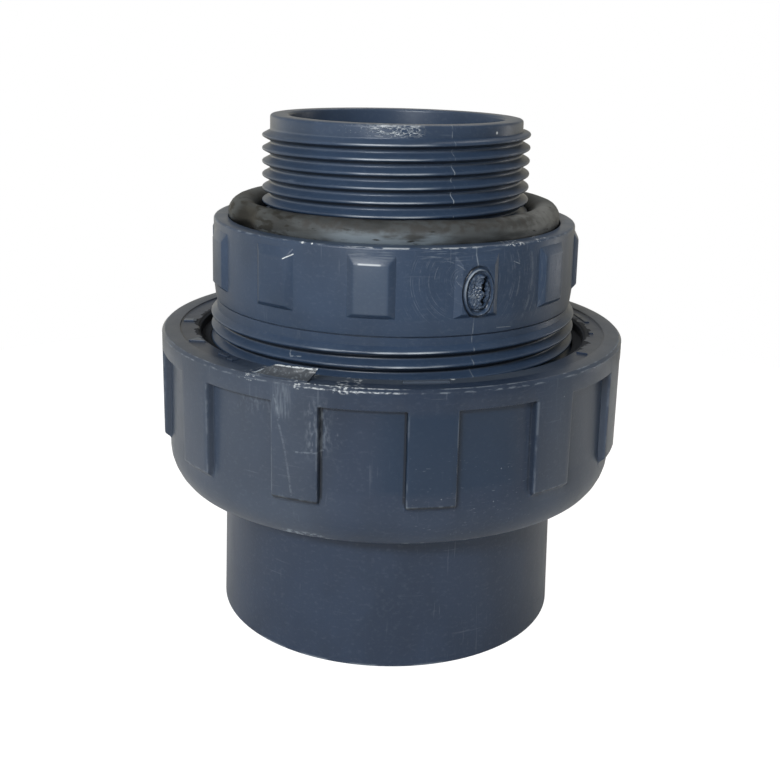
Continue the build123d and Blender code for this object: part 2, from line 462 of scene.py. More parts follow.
def dish_mark(*corners):
    """A raised mould mark on the nut's dish, with corners given as (angle, radius)."""
    bm = bmesh.new()
    verts = [bm.verts.new(polar(angle, radius, DISH_FLOOR - MARK_BURIED))
             for angle, radius in corners]
    foot = bmesh.ops.contextual_create(bm, geom=verts)["faces"]
    made = bmesh.ops.extrude_face_region(bm, geom=foot)["geom"]
    top = [item for item in made if isinstance(item, bmesh.types.BMVert)]
    bmesh.ops.translate(bm, vec=(0, 0, MARK_RISE + MARK_BURIED), verts=top)
    rim = [edge for edge in bm.edges if all(vert in top for vert in edge.verts)]
    break_edges(bm, rim, MARK_BEVEL, 1)
    outward(bm)
    return bm


def dish_marks():
    """Plain strokes and arrow heads, spread over the dish."""
    return [
        dish_mark((2.9, 36.2), (14.2, 36.2), (14.2, 37.3), (2.9, 37.3)),
        dish_mark((-88.6, 35.9), (-86.6, 35.9), (-86.6, 38.25), (-88.6, 38.25)),
        dish_mark((-68.2, 35.7), (-63.2, 35.7), (-65.6, 38.2)),
        dish_mark((-50.6, 36.4), (-46.6, 36.4), (-46.6, 37.0), (-50.6, 37.0)),
        dish_mark((-45.2, 36.0), (-43.2, 36.0), (-43.2, 37.6), (-45.2, 37.6)),
        dish_mark((61.0, 36.0), (64.2, 36.0), (64.2, 36.8), (61.0, 38.0)),
        dish_mark((83.0, 35.9), (85.0, 35.9), (85.0, 36.8), (83.0, 36.8)),
        dish_mark((96.0, 36.6), (106.0, 36.6), (106.0, 37.4), (96.0, 37.4)),
        dish_mark((150.0, 35.9), (161.0, 35.9), (161.0, 36.8), (150.0, 36.8)),
        dish_mark((-140.0, 35.9), (-134.0, 35.9), (-137.0, 38.2)),
    ]


def flap(columns=30, rows=7):
    """The shaving torn up from the nut's top edge, still held along its foot."""
    bm = bmesh.new()
    bmesh.ops.create_grid(bm, x_segments=columns, y_segments=rows, size=0.5)
    for vert in bm.verts:
        along, up = vert.co.x + 0.5, vert.co.y + 0.5
        foot = Vector(FLAP_BASE[0]).lerp(Vector(FLAP_BASE[1]), along)
        tip = Vector(FLAP_TIP[0]).lerp(Vector(FLAP_TIP[1]), along)
        up *= min(max(along / FLAP_RISE, 0.04), 1) ** 0.8
        place = foot.lerp(tip, up)
        ragged = noise.noise(Vector((along * 9, up * 2, 4.0)))
        place.y += 0.14 * ragged - 0.5 * math.sin(up * math.pi)
        place.z += 0.12 * ragged * up
        vert.co = polar(*place)
    outward(bm)
    bmesh.ops.solidify(bm, geom=bm.faces[:], thickness=FLAP_THICKNESS)
    return bm


def union_nut():
    """The nut with its inner thread, which stands half a pitch off the body's."""
    thread = threaded_wall(NUT_CREST_R, NUT_ROOT_R, NUT_THREAD_FOOT, NUT_THREAD_HEAD,
                           UNION_FRONT_CREST - 2.5 * PITCH, NUT_THREAD_FOOT + 1,
                           NUT_THREAD_HEAD - 0.4, 0)
    nut = joined(nut_shell(), thread)
    for level in (NUT_THREAD_FOOT, NUT_THREAD_HEAD):
        bmesh.ops.bridge_loops(nut, edges=level_rim(nut, level))
    bmesh.ops.remove_doubles(nut, verts=nut.verts, dist=MEET)
    outward(nut)
    return joined(nut, flap(), *dish_marks())


def rubber_ring():
    """The face ring: round in section, dusty and a little out of true."""
    section = []
    for step in range(RING_FACES):
        turn = math.tau * step / RING_FACES
        section.append((RING_R + RING_SECTION_R * math.cos(turn),
                        RING_Z + RING_SECTION_R * math.sin(turn)))
    bm = turned(section)
    for vert in bm.verts:
        angle = angle_of(vert.co)
        swell = noise.noise(vert.co * 0.09) * 0.14 + noise.noise(vert.co * 0.45) * 0.05
        outer = smooth((vert.co.xy.length - RING_R) / 2)
        dent = DENT * math.exp(-((angle - DENT_ANGLE) / DENT_SPREAD) ** 2) * outer
        middle = polar(angle, RING_R, RING_Z)
        vert.co += (vert.co - middle).normalized() * (swell - dent)
        vert.co.x -= RING_SHIFT
        vert.co.z = max(vert.co.z, RING_FLOOR + 0.02)
    return bm


def finished(name, bm, body, slot, material, *replaced):
    """Makes the piece an object, in metres, that rides on its body and stands for a CAD node."""
    bmesh.ops.scale(bm, vec=(MM, MM, MM), verts=bm.verts)
    mesh = as_mesh(name, bm)
    mesh.shade_smooth()
    mesh.set_sharp_from_angle(angle=math.radians(SMOOTH_UP_TO))
    mesh.materials.append(material)
    piece = placed(name, mesh)
    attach(piece, body)
    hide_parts(*replaced)


class Wire:
    """A socket in a node tree, with arithmetic that adds Math nodes."""

    def __init__(self, nodes, socket):
        self.nodes, self.socket = nodes, socket

    def maths(self, operation, *others, **settings):
        settings["operation"] = operation
        return self.nodes.node("Math", settings, dict(enumerate((self, *others))))

    def between(self, low, high):
        """0 where this is low, 1 where it is high, and an even S between them."""
        settings = {"interpolation_type": "SMOOTHSTEP"}
        return self.nodes.node("MapRange", settings, {0: self, 1: low, 2: high, 3: 0, 4: 1})

    def __add__(self, other):
        return self.maths("ADD", other)

    def __sub__(self, other):
        return self.maths("SUBTRACT", other)

    def __rsub__(self, other):
        return self.nodes.node("Math", {"operation": "SUBTRACT"}, {0: other, 1: self})

    def __mul__(self, other):
        return self.maths("MULTIPLY", other)

    def __truediv__(self, other):
        return self.maths("DIVIDE", other)

    def __pow__(self, other):
        return self.maths("POWER", other)

    def __abs__(self):
        return self.maths("ABSOLUTE")

    def __neg__(self):
        return 0 - self

    __radd__ = __add__
    __rmul__ = __mul__


class Nodes:
    """A node tree being made."""

    def __init__(self, tree):
        self.tree = tree

    def node(self, kind, settings, inputs, output=0):
        """Adds a node: its settings first, then the values or wires of its sockets."""
        node = self.tree.nodes.new("ShaderNode" + kind)
        for name, value in settings.items():
            setattr(node, name, value)
        for name, value in inputs.items():
            self.into(node, name, value)
        if isinstance(output, tuple):
            return [Wire(self, node.outputs[name]) for name in output]
        return Wire(self, node.outputs[output])

    def into(self, node, name, value):
        """Gives a socket of a node its value or wire."""
        if isinstance(value, Wire):
            self.tree.links.new(value.socket, node.inputs[name])
        else:
            node.inputs[name].default_value = value

    def mixed(self, share, first, second):
        """A colour between two colours."""
        return self.node("Mix", {"data_type": "RGBA"}, {0: share, 6: first, 7: second}, 2)


class Finish(Nodes):
    """A material being made, with a Principled shader and places in millimetres."""

    def __init__(self, name, colour, wall_r=1.0, roughness=0.9):
        self.material = bpy.data.materials.new(name)
        self.material.use_nodes = True
        super().__init__(self.material.node_tree)
        self.shader = self.tree.nodes["Principled BSDF"]
        self.colour, self.roughness, self.relief = (*colour, 1), roughness, None
        metres = self.node("TexCoord", {}, {}, "Object")
        self.place = self.node("VectorMath", {"operation": "SCALE"},
                               {0: metres, "Scale": 1 / MM})
        x, y, self.height = self.node("SeparateXYZ", {}, {0: self.place}, ("X", "Y", "Z"))
        self.radius = (x * x + y * y) ** 0.5
        self.angle = x.maths("ARCTAN2", -y) * math.degrees(1)
        self.degree = math.radians(wall_r)
        self.wall = self.node("CombineXYZ", {}, {0: self.angle * self.degree, 1: self.height})

    def grain(self, size, stretch=(1, 1, 1), detail=2.0):
        """Noise from 0 to 1 with blots of about a size, drawn out along an axis by stretch."""
        scale = tuple(1 / (size * factor) for factor in stretch)
        place = self.node("VectorMath", {"operation": "MULTIPLY"}, {0: self.place, 1: scale})
        return self.node("TexNoise", {}, {"Vector": place, "Scale": 1.0, "Detail": detail})

    def specks(self, spacing, size):
        """Scattered dots, of which each is up to a size across."""
        place = self.node("VectorMath", {"operation": "SCALE"},
                          {0: self.place, "Scale": 1 / spacing})
        near = self.node("TexVoronoi", {}, {"Vector": place, "Scale": 1.0})
        some = self.grain(spacing * 2.3).between(0.5, 0.75)
        return near.between(size / spacing / 2, size / spacing / 5) * some

    def window(self, angles, heights, soft, soft_height):
        """1 inside a stretch of the wall, given in degrees and millimetres."""
        low, high = angles
        foot, head = heights
        return (self.angle.between(low - soft, low + soft)
                * self.angle.between(high + soft, high - soft)
                * self.height.between(foot - soft_height, foot + soft_height)
                * self.height.between(head + soft_height, head - soft_height))

    def stroke(self, width, *points):
        """A scratch through (angle, height) points."""
        gaps = []
        for (from_angle, from_height), (to_angle, to_height) in zip(points, points[1:]):
            start = Vector((from_angle * self.degree, from_height, 0))
            run = Vector((to_angle * self.degree, to_height, 0)) - start
            away = self.node("VectorMath", {"operation": "SUBTRACT"}, {0: self.wall, 1: start})
            share = self.node("VectorMath", {"operation": "DOT_PRODUCT"},
                              {0: away, 1: run / run.length_squared}, 1)
            share = share.maths("ADD", 0.0, use_clamp=True)
            nearest = self.node("VectorMath", {"operation": "SCALE"}, {0: run, "Scale": share})
            gaps.append(self.node("VectorMath", {"operation": "DISTANCE"},
                                  {0: away, 1: nearest}, 1))
        gap = gaps[0]
        for other in gaps[1:]:
            gap = gap.maths("MINIMUM", other)
        return gap.between(width * 0.7, width * 0.25)

    def spot(self, size, *place):
        """A dot round a point given by angle, radius and height."""
        gap = self.node("VectorMath", {"operation": "DISTANCE"},
                        {0: self.place, 1: polar(*place)}, 1)
        return gap.between(size * 0.6, size * 0.3)

    def corner_wear(self, radius, height, size):
        """1 near the circle where two faces meet, at a radius and a height."""
        gap = ((self.radius - radius) ** 2 + (self.height - height) ** 2) ** 0.5
        return gap.between(size, size * 0.4)

    def paint(self, mask, colour):
        self.colour = self.mixed(mask, self.colour, (*colour, 1))

    def roughen(self, mask, roughness):
        self.roughness = self.roughness + mask * (roughness - self.roughness)

    def lift(self, height):
        """Adds relief, in millimetres."""
        self.relief = height if self.relief is None else self.relief + height

    def scuff(self, mask, strength=0.75, rise=0.01):
        """Whitened, roughened plastic."""
        self.paint(mask * strength, SCUFF_AND_SHEEN)
        self.roughen(mask, 0.6)
        self.lift(mask * rise)

    def done(self):
        """Connects what was worked out to the shader."""
        self.into(self.shader, "Base Color", self.colour)
        self.into(self.shader, "Roughness", self.roughness)
        if self.relief:
            relief = {"Strength": 1.0, "Distance": MM, "Height": self.relief}
            self.into(self.shader, "Normal", self.node("Bump", {}, relief))
        return self.material


# ---- finishes ----
SLATE = (0.033, 0.057, 0.106)
GREY_SLATE = (0.024, 0.039, 0.073)       # the nut and the socket
SHADED_SLATE = (0.010, 0.028, 0.062)      # painted shade: a darker stretch on the nut's front right
SHAVED = (0.036, 0.040, 0.045)           # the torn-up shaving
SHADE = (0.004, 0.006, 0.010)
# pale colours of wear, also used for painted highlights and painted sheen
SCUFF_AND_SHEEN = (0.34, 0.39, 0.45)
WHITENED_AND_HIGHLIGHT = (0.62, 0.66, 0.70)
DUST = (0.056, 0.063, 0.068)             # all over the rubber
BARE_RUBBER = (0.024, 0.027, 0.029)
SOOT = (0.006, 0.006, 0.005)
# painted sheen for the ring's front, and painted sheen with dust for its right
RING_FRONT_SHEEN, RING_RIGHT_SHEEN_AND_DUST = (0.165, 0.205, 0.245), (0.165, 0.170, 0.170)
BROWN_DUST = (0.034, 0.032, 0.031)
CRUMB, GRIT = (0.6, 0.6, 0.58), (0.35, 0.36, 0.33)
RING_OVER = 76.0                         # a height above the ring


def pvc(name, wall_r, slate=SLATE):
    """Moulded plastic with the skin that all three pieces share."""
    finish = Finish(name, slate, wall_r)
    finish.shader.inputs["Specular IOR Level"].default_value = 0.42
    deep = [0.84 * part for part in slate]
    finish.paint(finish.grain(9, (1, 1, 1.6), 3.0).between(0.35, 0.7), deep)
    finish.roughness = 0.26 + 0.16 * finish.grain(4, (1, 1, 2.5), 4.0)
    waves = finish.grain(5, (1, 1, 1.4), 1.0)
    finish.lift(finish.grain(0.35, detail=3.0) * 0.014 + waves * 0.035)
    finish.paint(finish.grain(0.5, (1.5, 1.5, 1), 4.0).between(0.5, 0.8) * 0.05, SCUFF_AND_SHEEN)
    hairs = finish.grain(0.5, (1, 1, 16)).between(0.66, 0.74)
    rings = finish.grain(0.45, (22, 22, 1)).between(0.67, 0.75)
    where = finish.grain(11).between(0.48, 0.62)
    finish.scuff((hairs + rings) * where, 0.1, 0.002)
    finish.scuff(finish.specks(5.5, 0.34), 0.8, 0.015)
    return finish


def gate_marks(finish):
    """Worn lip, painted shade in the outlines and the hole, and torn floor of the gate."""
    aside = (finish.angle - GATE_ANGLE) * finish.degree
    up = finish.height - GATE_Z
    reach = ((aside / GATE_HALF[0]) ** 2 + (up / GATE_HALF[1]) ** 2) ** 0.5
    in_front = finish.radius.between(COLLAR_R - 0.6, COLLAR_R - 0.2)
    left = aside.between(1.4, -1.0)
    upper = up.between(-2.5, 2.5)
    outline = reach.between(0.99, 1.03) * reach.between(1.11, 1.07)
    inline = reach.between(0.75, 0.79) * reach.between(0.86, 0.82)
    # painted shade along the grooves round the lip
    finish.paint((outline * (0.3 + 0.6 * left) + inline * 0.55) * in_front, SHADE)
    floor = reach.between(0.78, 0.7) * in_front
    mottled = finish.grain(0.5, detail=4.0).between(0.4, 0.7)
    finish.paint(floor * mottled * (0.1 + 0.22 * left), SCUFF_AND_SHEEN)
    # painted shade in the deep hole
    finish.paint(floor * finish.radius.between(PAD_R - 0.15, PAD_R - 0.45), SHADE)
    lip = reach.between(0.88, 0.92) * reach.between(0.99, 0.96)
    finish.paint(lip * in_front * (0.1 + 0.6 * left * upper), SCUFF_AND_SHEEN)
    middle = finish.spot(2.4, GATE_ANGLE - 0.4, PAD_R, GATE_Z)
    finish.paint(middle * finish.grain(0.26, detail=1.0).between(0.58, 0.64) * 0.6, WHITENED_AND_HIGHLIGHT)
    finish.lift(floor * finish.grain(0.4, detail=3.0) * 0.3)


def swirl(finish):
    """Fine arcs left by brushing round the gate."""
    aside = (finish.angle - GATE_ANGLE + 4) * finish.degree
    reach = (aside ** 2 + (finish.height - GATE_Z - 2) ** 2) ** 0.5
    arcs = finish.node("CombineXYZ", {}, {0: reach * 5.5, 1: finish.angle * 0.06})
    lines = finish.node("TexNoise", {}, {"Vector": arcs, "Scale": 1.0, "Detail": 4.0})
    right = finish.window((31, 58), (59.5, 70.5), 3, 1.2)
    left = finish.window((4, 19), (60.5, 70), 3, 1.2)
    broken = finish.grain(1.4, detail=3.0).between(0.38, 0.6)
    return lines.between(0.52, 0.66) * broken * (right + 0.7 * left)


def thread_shade_and_wear(finish, front_crest, heights, root_r, shade_foot, wear):
    """Painted shade under the crests of a thread, a painted highlight on the flank above the root,
    and wear with a painted highlight on top of the crests.

    Places on it are told by the share of the pitch that they lie above the crest below them.
    """
    foot, head = heights
    turn = (finish.height - front_crest) / PITCH - finish.angle / 360
    above = turn.maths("FRACT")
    thread = (finish.radius.between(root_r - 0.3, root_r - 0.1)
              * finish.height.between(foot - 0.1, foot + 0.1)
              * finish.height.between(head + 0.1, head - 0.1))
    # painted shade: the underside of each crest is darkened
    under = above.between(shade_foot - 0.04, shade_foot + 0.04) * above.between(0.93, 0.86)
    finish.paint(under * thread * 0.85, SHADE)
    # painted highlight: a lighter band on the upper flank near the root
    flank_highlight = above.between(0.3, 0.5) * above.between(shade_foot + 0.02, shade_foot - 0.04)
    finish.paint(flank_highlight * thread * 0.075, SCUFF_AND_SHEEN)
    # worn crest shoulders, painted lighter at the front, where they also stand for a highlight
    shoulder = above.between(0.12, 0.04) + above.between(0.95, 0.99)
    front = finish.window((-20, 14), heights, 6, 0.1)
    worn = finish.grain(1.5, (5, 5, 1)).between(0.3, 0.6) * thread * front
    finish.paint(shoulder * worn * wear, SCUFF_AND_SHEEN)
    # painted highlight: a white line along the crest tops at the front
    top = above.between(0.07, 0.02) + above.between(0.955, 0.985)
    highlight_window = finish.window((-15, 12), heights, 6, 0.1)
    finish.paint(top * worn * highlight_window * wear * 0.85, WHITENED_AND_HIGHLIGHT)


def body_finish():
    """The threaded body: parting line, worn rims and pads, gate, chipped pilot, two threads, with
    painted highlights and painted shade.
    """
    finish = pvc("pvc_body", COLLAR_R)
    ragged = finish.grain(0.6, (2.5, 2.5, 1), 4.0)
    fine = finish.grain(0.35, (1.4, 1.4, 1), 4.0)

    # parting line, front and back
    before = abs(finish.angle - PARTING) * finish.degree
    behind = abs(finish.angle - PARTING + 180) * finish.degree
    line = before.maths("MINIMUM", behind).between(0.14, 0.05)
    line = line * finish.radius.between(FLOW_R + 1, FLOW_R + 2)
    gate_zone = finish.window((18, 30), (60.9, 68.6), 0.5, 0.2)
    line = line * (1 - gate_zone) * finish.grain(1.6).between(0.35, 0.6)
    finish.scuff(line * (0.38 + 0.5 * finish.height.between(73, 74)), 1.0, 0.03)

    # rim
    rim = finish.corner_wear(COLLAR_R - 0.15, COLLAR_HEAD - 0.15, 0.2)
    finish.scuff(rim * ragged.between(0.48, 0.62), 0.3)
    inner = finish.corner_wear(RIM_R + 0.05, COLLAR_HEAD, 0.16)
    # painted highlight: white lines along the rim's outer and inner edges at the front, broken up
    # like wear
    front = finish.window((-11, 24), (COLLAR_HEAD - 1, COLLAR_HEAD + 0.2), 3, 0.2)
    finish.paint((rim + inner) * front * ragged.between(0.42, 0.52) * 0.45, WHITENED_AND_HIGHLIGHT)
    nicks = (finish.window((33.5, 40), (COLLAR_HEAD - 0.45, COLLAR_HEAD + 0.2), 1, 0.2)
             + finish.window((46, 52), (COLLAR_HEAD - 0.3, COLLAR_HEAD + 0.2), 1, 0.15))
    finish.paint(nicks * fine.between(0.56, 0.62) * 0.7, WHITENED_AND_HIGHLIGHT)
    for size, angle in ((0.5, -26.3), (0.4, -23.3)):
        finish.paint(finish.spot(size, angle, COLLAR_R - 0.1, COLLAR_HEAD - 0.1), WHITENED_AND_HIGHLIGHT)

    # handling marks on the collar
    across = finish.grain(0.3, (12, 12, 1), 4.0)
    top_scuff = finish.window((8, 30), (69.9, 71.6), 4, 0.3)
    finish.scuff(top_scuff * across.between(0.54, 0.7), 0.26)
    # painted highlight along the top edge of the pad's face
    pad_head_highlight = finish.window((-9.5, -3.4), (PAD_FACE[2] - 0.05, PAD_FACE[2] + 0.2), 0.4, 0.08)
    finish.paint(pad_head_highlight * 0.6, WHITENED_AND_HIGHLIGHT)
    pad_face = finish.window((-10.6, -1.4), PAD_FACE[1:], 0.6, 0.3)
    finish.paint(pad_face * finish.radius.between(PAD_R - 0.2, PAD_R - 0.05) * 0.08, SCUFF_AND_SHEEN)
    worn_pad = finish.window((-12, 0), (70.0, 71.3), 2, 0.3)
    finish.scuff(worn_pad * across.between(0.4, 0.7), 0.22)
    finish.scuff(swirl(finish), 0.2, 0.015)
    curl = finish.stroke(0.13, (13.4, 69.6), (15, 69.9), (16.9, 69.5), (18.4, 69.1),
                         (19.6, 68.5))
    hook = finish.stroke(0.12, (19.7, 67.9), (17.9, 67.6), (17.4, 66.9), (18.2, 66.2),
                         (19.3, 65.7))
    finish.scuff((curl + hook) * fine.between(0.35, 0.6), 0.2, 0.01)
    finish.paint(finish.stroke(0.16, (-31.9, 69.0), (-29.2, 69.8)), WHITENED_AND_HIGHLIGHT)
    faint = (finish.stroke(0.14, (36.3, 69.1), (38.6, 68.6))
             + finish.stroke(0.12, (31.4, 58.5), (36.8, 58.3))
             + finish.stroke(0.14, (-31.2, 54.1), (-30.8, 53.5), (-29.7, 53.15), (-26.5, 53.3)))
    finish.scuff(faint * fine.between(0.35, 0.5), 0.45, 0.01)
    gate_marks(finish)

    # chips on the rim of the thread's pilot, and a painted highlight along its front edge
    chips = finish.window((-11, 10), (MALE_HEAD + 0.4, TOP_Z), 3, 0.4)
    sparse = finish.window((-24, -9), (MALE_HEAD + 0.8, TOP_Z), 3, 0.4)
    wavy = abs(finish.grain(0.34, (3.2, 3.2, 1), 3.0) - 0.5).between(0.065, 0.02)
    finish.scuff(chips * wavy, 0.5, 0.05)
    finish.paint(chips * wavy * fine.between(0.46, 0.58) * 0.7, WHITENED_AND_HIGHLIGHT)
    # painted highlight along the pilot's front top edge
    pilot_edge_highlight = finish.corner_wear(PILOT_R - 0.15, TOP_Z - 0.15, 0.26)
    pilot_edge_highlight = pilot_edge_highlight * finish.window((-15, 9), (TOP_Z - 1, TOP_Z + 0.2), 3, 0.2)
    finish.paint(pilot_edge_highlight * ragged.between(0.36, 0.52) * 0.45, WHITENED_AND_HIGHLIGHT)
    finish.scuff(sparse * fine.between(0.6, 0.66), 0.5, 0.05)
    finish.paint(finish.spot(0.5, 47.6, PILOT_R, 88.5), WHITENED_AND_HIGHLIGHT)
    thread_shade_and_wear(finish, MALE_FRONT_CREST, MALE_THREAD_MARKS, MALE_ROOT_R, 0.67, 0.45)
    thread_shade_and_wear(finish, UNION_FRONT_CREST, UNION_THREAD_MARKS, UNION_ROOT_R, 0.45, 0.8)
    return finish.done()


def nut_corners(finish):
    """Painted shade in the corners round the ribs, and wear on their edges with painted
    highlights.
    """
    height, radius = finish.height, finish.radius
    turn = finish.angle + (360 - RIB_PHASE + 180 / GRIP_COUNT)
    off_rib = abs(turn.maths("MODULO", 360 / GRIP_COUNT) - 180 / GRIP_COUNT) * finish.degree
    half = math.radians(RIB_SPAN / 2) * NUT_BAND_R
    sunk = radius.between(RIB_R - 0.25, RIB_R - 0.6) * radius.between(PANEL_R - 1, PANEL_R - 0.9)
    beside = off_rib.between(half + 0.55, half + 0.3) * height.between(RIB_FOOT, RIB_FOOT + 0.5)
    under_band = height.between(NUT_BAND_FOOT - 0.5, NUT_BAND_FOOT - 0.25)
    under_rib = (off_rib.between(half + 0.3, half)
                 * height.between(RIB_FOOT - 0.45, RIB_FOOT - 0.2)
                 * height.between(RIB_FOOT + 0.3, RIB_FOOT + 0.1))
    # painted shade in the corners beside the ribs, under the band and under the rib feet
    corners = (beside + under_band) * sunk * height.between(NUT_BAND_FOOT + 0.2, NUT_BAND_FOOT)
    front = 1 - 0.7 * abs(finish.angle).between(28, 38)
    finish.paint((corners + under_rib) * (0.7 + 0.2 * under_band) * front, SHADE)
    # wear on the rib edges and feet, also a painted highlight along them
    edge = (off_rib.between(half - 0.4, half - 0.15) * radius.between(RIB_R - 0.35, RIB_R - 0.1)
            * height.between(NUT_BAND_FOOT, NUT_BAND_FOOT - 0.3))
    foot = (off_rib.between(half, half - 0.2) * height.between(RIB_FOOT + 0.45, RIB_FOOT + 0.2)
            * height.between(RIB_FOOT - 0.1, RIB_FOOT + 0.1))
    worn = finish.grain(1.1, (1, 1, 2), 4.0).between(0.42, 0.62)
    finish.paint((edge + foot) * worn * 0.16, SCUFF_AND_SHEEN)


def nut_finish():
    """The nut: dust, painted shade in its corners, mouth and front right, worn edges with painted
    highlights, scuffed ribs, and painted sheen on mould marks.
    """
    finish = pvc("pvc_nut", NUT_BAND_R, GREY_SLATE)
    height, radius = finish.height, finish.radius
    haze = finish.angle.between(-8, -22) + finish.angle.between(27, 44)
    haze = haze + height.between(35, 29) * 0.2
    finish.paint(haze * radius.between(DISH_R - 0.1, DISH_R + 0.3) * 0.065, SCUFF_AND_SHEEN)
    # painted shade: the nut's front right is darkened
    shaded_front = finish.window((-2, 30), (35, 48.2), 4, 1)
    finish.paint(shaded_front * radius.between(DISH_R, DISH_R + 0.3) * 0.7, SHADED_SLATE)
    dusty = finish.window((-35, 45), (DISH_FLOOR - 0.1, NUT_TOP + 0.1), 15, 0.05)
    finish.paint(dusty * radius.between(DISH_R + 0.3, DISH_R) * 0.14, SCUFF_AND_SHEEN)
    ragged = finish.grain(0.7, (2.5, 2.5, 1), 4.0)
    fine = finish.grain(0.4, (1.6, 1.6, 1), 4.0)

    # edges and corners
    edges = (finish.corner_wear(NUT_BAND_R - EDGE, NUT_TOP, 0.17)
             + finish.corner_wear(NUT_BAND_R, NUT_TOP - EDGE, 0.2))
    finish.scuff(edges * ragged.between(0.46, 0.62), 0.3)
    nut_corners(finish)
    # worn top edge painted white at the front, also a painted highlight
    struck_and_lit = finish.window((-20, 2), (NUT_TOP - 1.0, NUT_TOP + 0.3), 3, 0.3)
    finish.paint(edges * struck_and_lit * fine.between(0.42, 0.58) * 0.6, WHITENED_AND_HIGHLIGHT)
    chipped = (finish.window((-12, -6.5), (51.2, NUT_TOP + 0.1), 1.5, 0.3)
               + finish.window((-34, -30), (51.2, NUT_TOP), 1.2, 0.3)
               + finish.window((-21, -18.5), (51.2, NUT_TOP + 0.1), 0.8, 0.2))
    finish.paint(chipped * fine.between(0.55, 0.63) * 0.7, WHITENED_AND_HIGHLIGHT)

    # painted shade in the gap round the union thread, spreading in ragged patches at the sides
    gap = (radius.between(MOUTH_R - 0.1, MOUTH_R - 0.5)
           * height.between(NUT_THREAD_HEAD - 4, NUT_THREAD_HEAD - 0.9)
           * height.between(DISH_FLOOR - 0.1, DISH_FLOOR - 0.3))
    finish.paint(gap * 0.92, SHADE)
    finish.roughen(gap, 0.95)
    sides = abs(finish.angle).between(60, 66) * abs(finish.angle).between(108, 98)
    wandering = radius + finish.grain(4, detail=3.0) * 6
    lobes = (wandering.between(MOUTH_R + 3.8, MOUTH_R + 3.5) * sides
             * height.between(DISH_FLOOR - 0.4, DISH_FLOOR - 0.2))
    finish.paint(lobes * 0.9, SHADE)
    finish.roughen(lobes, 0.8)

    # torn-up shaving
    on_flap = finish.window((-34, -15), (NUT_TOP + 0.15, NUT_TOP + 3), 0.3, 0.08)
    finish.paint(on_flap * 0.7, SHAVED)
    finish.paint(on_flap * finish.grain(0.5, detail=4.0).between(0.55, 0.7) * 0.22, SCUFF_AND_SHEEN)
    tip = on_flap * height.between(53.62, 53.75)
    finish.paint(tip * fine.between(0.36, 0.5) * 0.8, WHITENED_AND_HIGHLIGHT)
    slope = finish.stroke(0.2, (-31.6, 52.2), (-30, 52.7), (-28.8, 53.5), (-27.4, 53.8))
    finish.paint(on_flap * slope * 0.6, SCUFF_AND_SHEEN)

    # scuffs and scratches on the ribs and panels
    upright = finish.grain(0.35, (1, 1, 7), 4.0)
    slanted = finish.grain(0.4, (1.4, 1.4, 3), 4.0)
    for angles, heights, soft, pattern, strength in (
            ((-17.5, -13.2), (40.5, 49.5), (1.5, 1.5), slanted.between(0.42, 0.72), 0.26),
            ((-25.5, -21.5), (46.5, 51.4), (1.0, 1.0), upright.between(0.3, 0.75), 0.24),
            ((-37, -28), (45.5, 48.8), (3, 1), slanted.between(0.5, 0.7), 0.16),
            ((-12.8, -10.6), (42.5, 44.6), (1.0, 0.8), slanted.between(0.52, 0.68), 0.18)):
        finish.scuff(finish.window(angles, heights, *soft) * pattern, strength)
    foot = finish.corner_wear(NUT_FOOT_R, NUT_FOOT, 0.4)
    finish.scuff(foot * ragged.between(0.5, 0.62), 0.4)
    dragged = finish.window((-25, -15), (NUT_FOOT - 0.3, NUT_FOOT + 0.9), 2, 0.3)
    finish.scuff(dragged * finish.grain(0.45, (1.6, 1.6, 1), 4.0).between(0.48, 0.6), 0.6)
    right = finish.window((4, 42), (27.5, 41), 5, 3)
    finish.scuff(right * finish.specks(1.3, 0.32), 0.65)
    finish.scuff(right * finish.grain(0.25, (4, 4, 1), 3.0).between(0.66, 0.74), 0.2)
    long_cut = finish.stroke(0.36, (-24.3, 45.7), (-22.9, 41.8), (-21.9, 37.8), (-21.1, 33.8))
    finish.scuff(long_cut * fine.between(0.35, 0.65), 0.15, 0.0)
    short_cuts = (finish.stroke(0.3, (-20, 41.0), (-14.6, 41.3))
                  + finish.stroke(0.3, (-25.3, 49.6), (-24.6, 48), (-23.9, 45.7)))
    finish.scuff(short_cuts * fine.between(0.35, 0.55), 0.2, 0.01)

    # painted sheen on the tops of the mould marks on the left, and one chip at the front
    raised = (height.between(DISH_FLOOR + 0.1, DISH_FLOOR + 0.2)
              * radius.between(DISH_R - 0.1, DISH_R - 0.3))
    finish.paint(raised * finish.angle.between(-55, -60) * 0.2, SCUFF_AND_SHEEN)
    finish.paint(finish.spot(0.8, 15.75, 35.6, DISH_FLOOR), WHITENED_AND_HIGHLIGHT)
    return finish.done()


def socket_finish():
    """The socket, worn along the rim that it stands on."""
    finish = pvc("pvc_socket", SOCKET_R, GREY_SLATE)
    foot = finish.height.between(0.5, 0.1) * finish.grain(1.2, (3, 3, 1)).between(0.45, 0.6)
    finish.scuff(foot, 0.35)
    return finish.done()


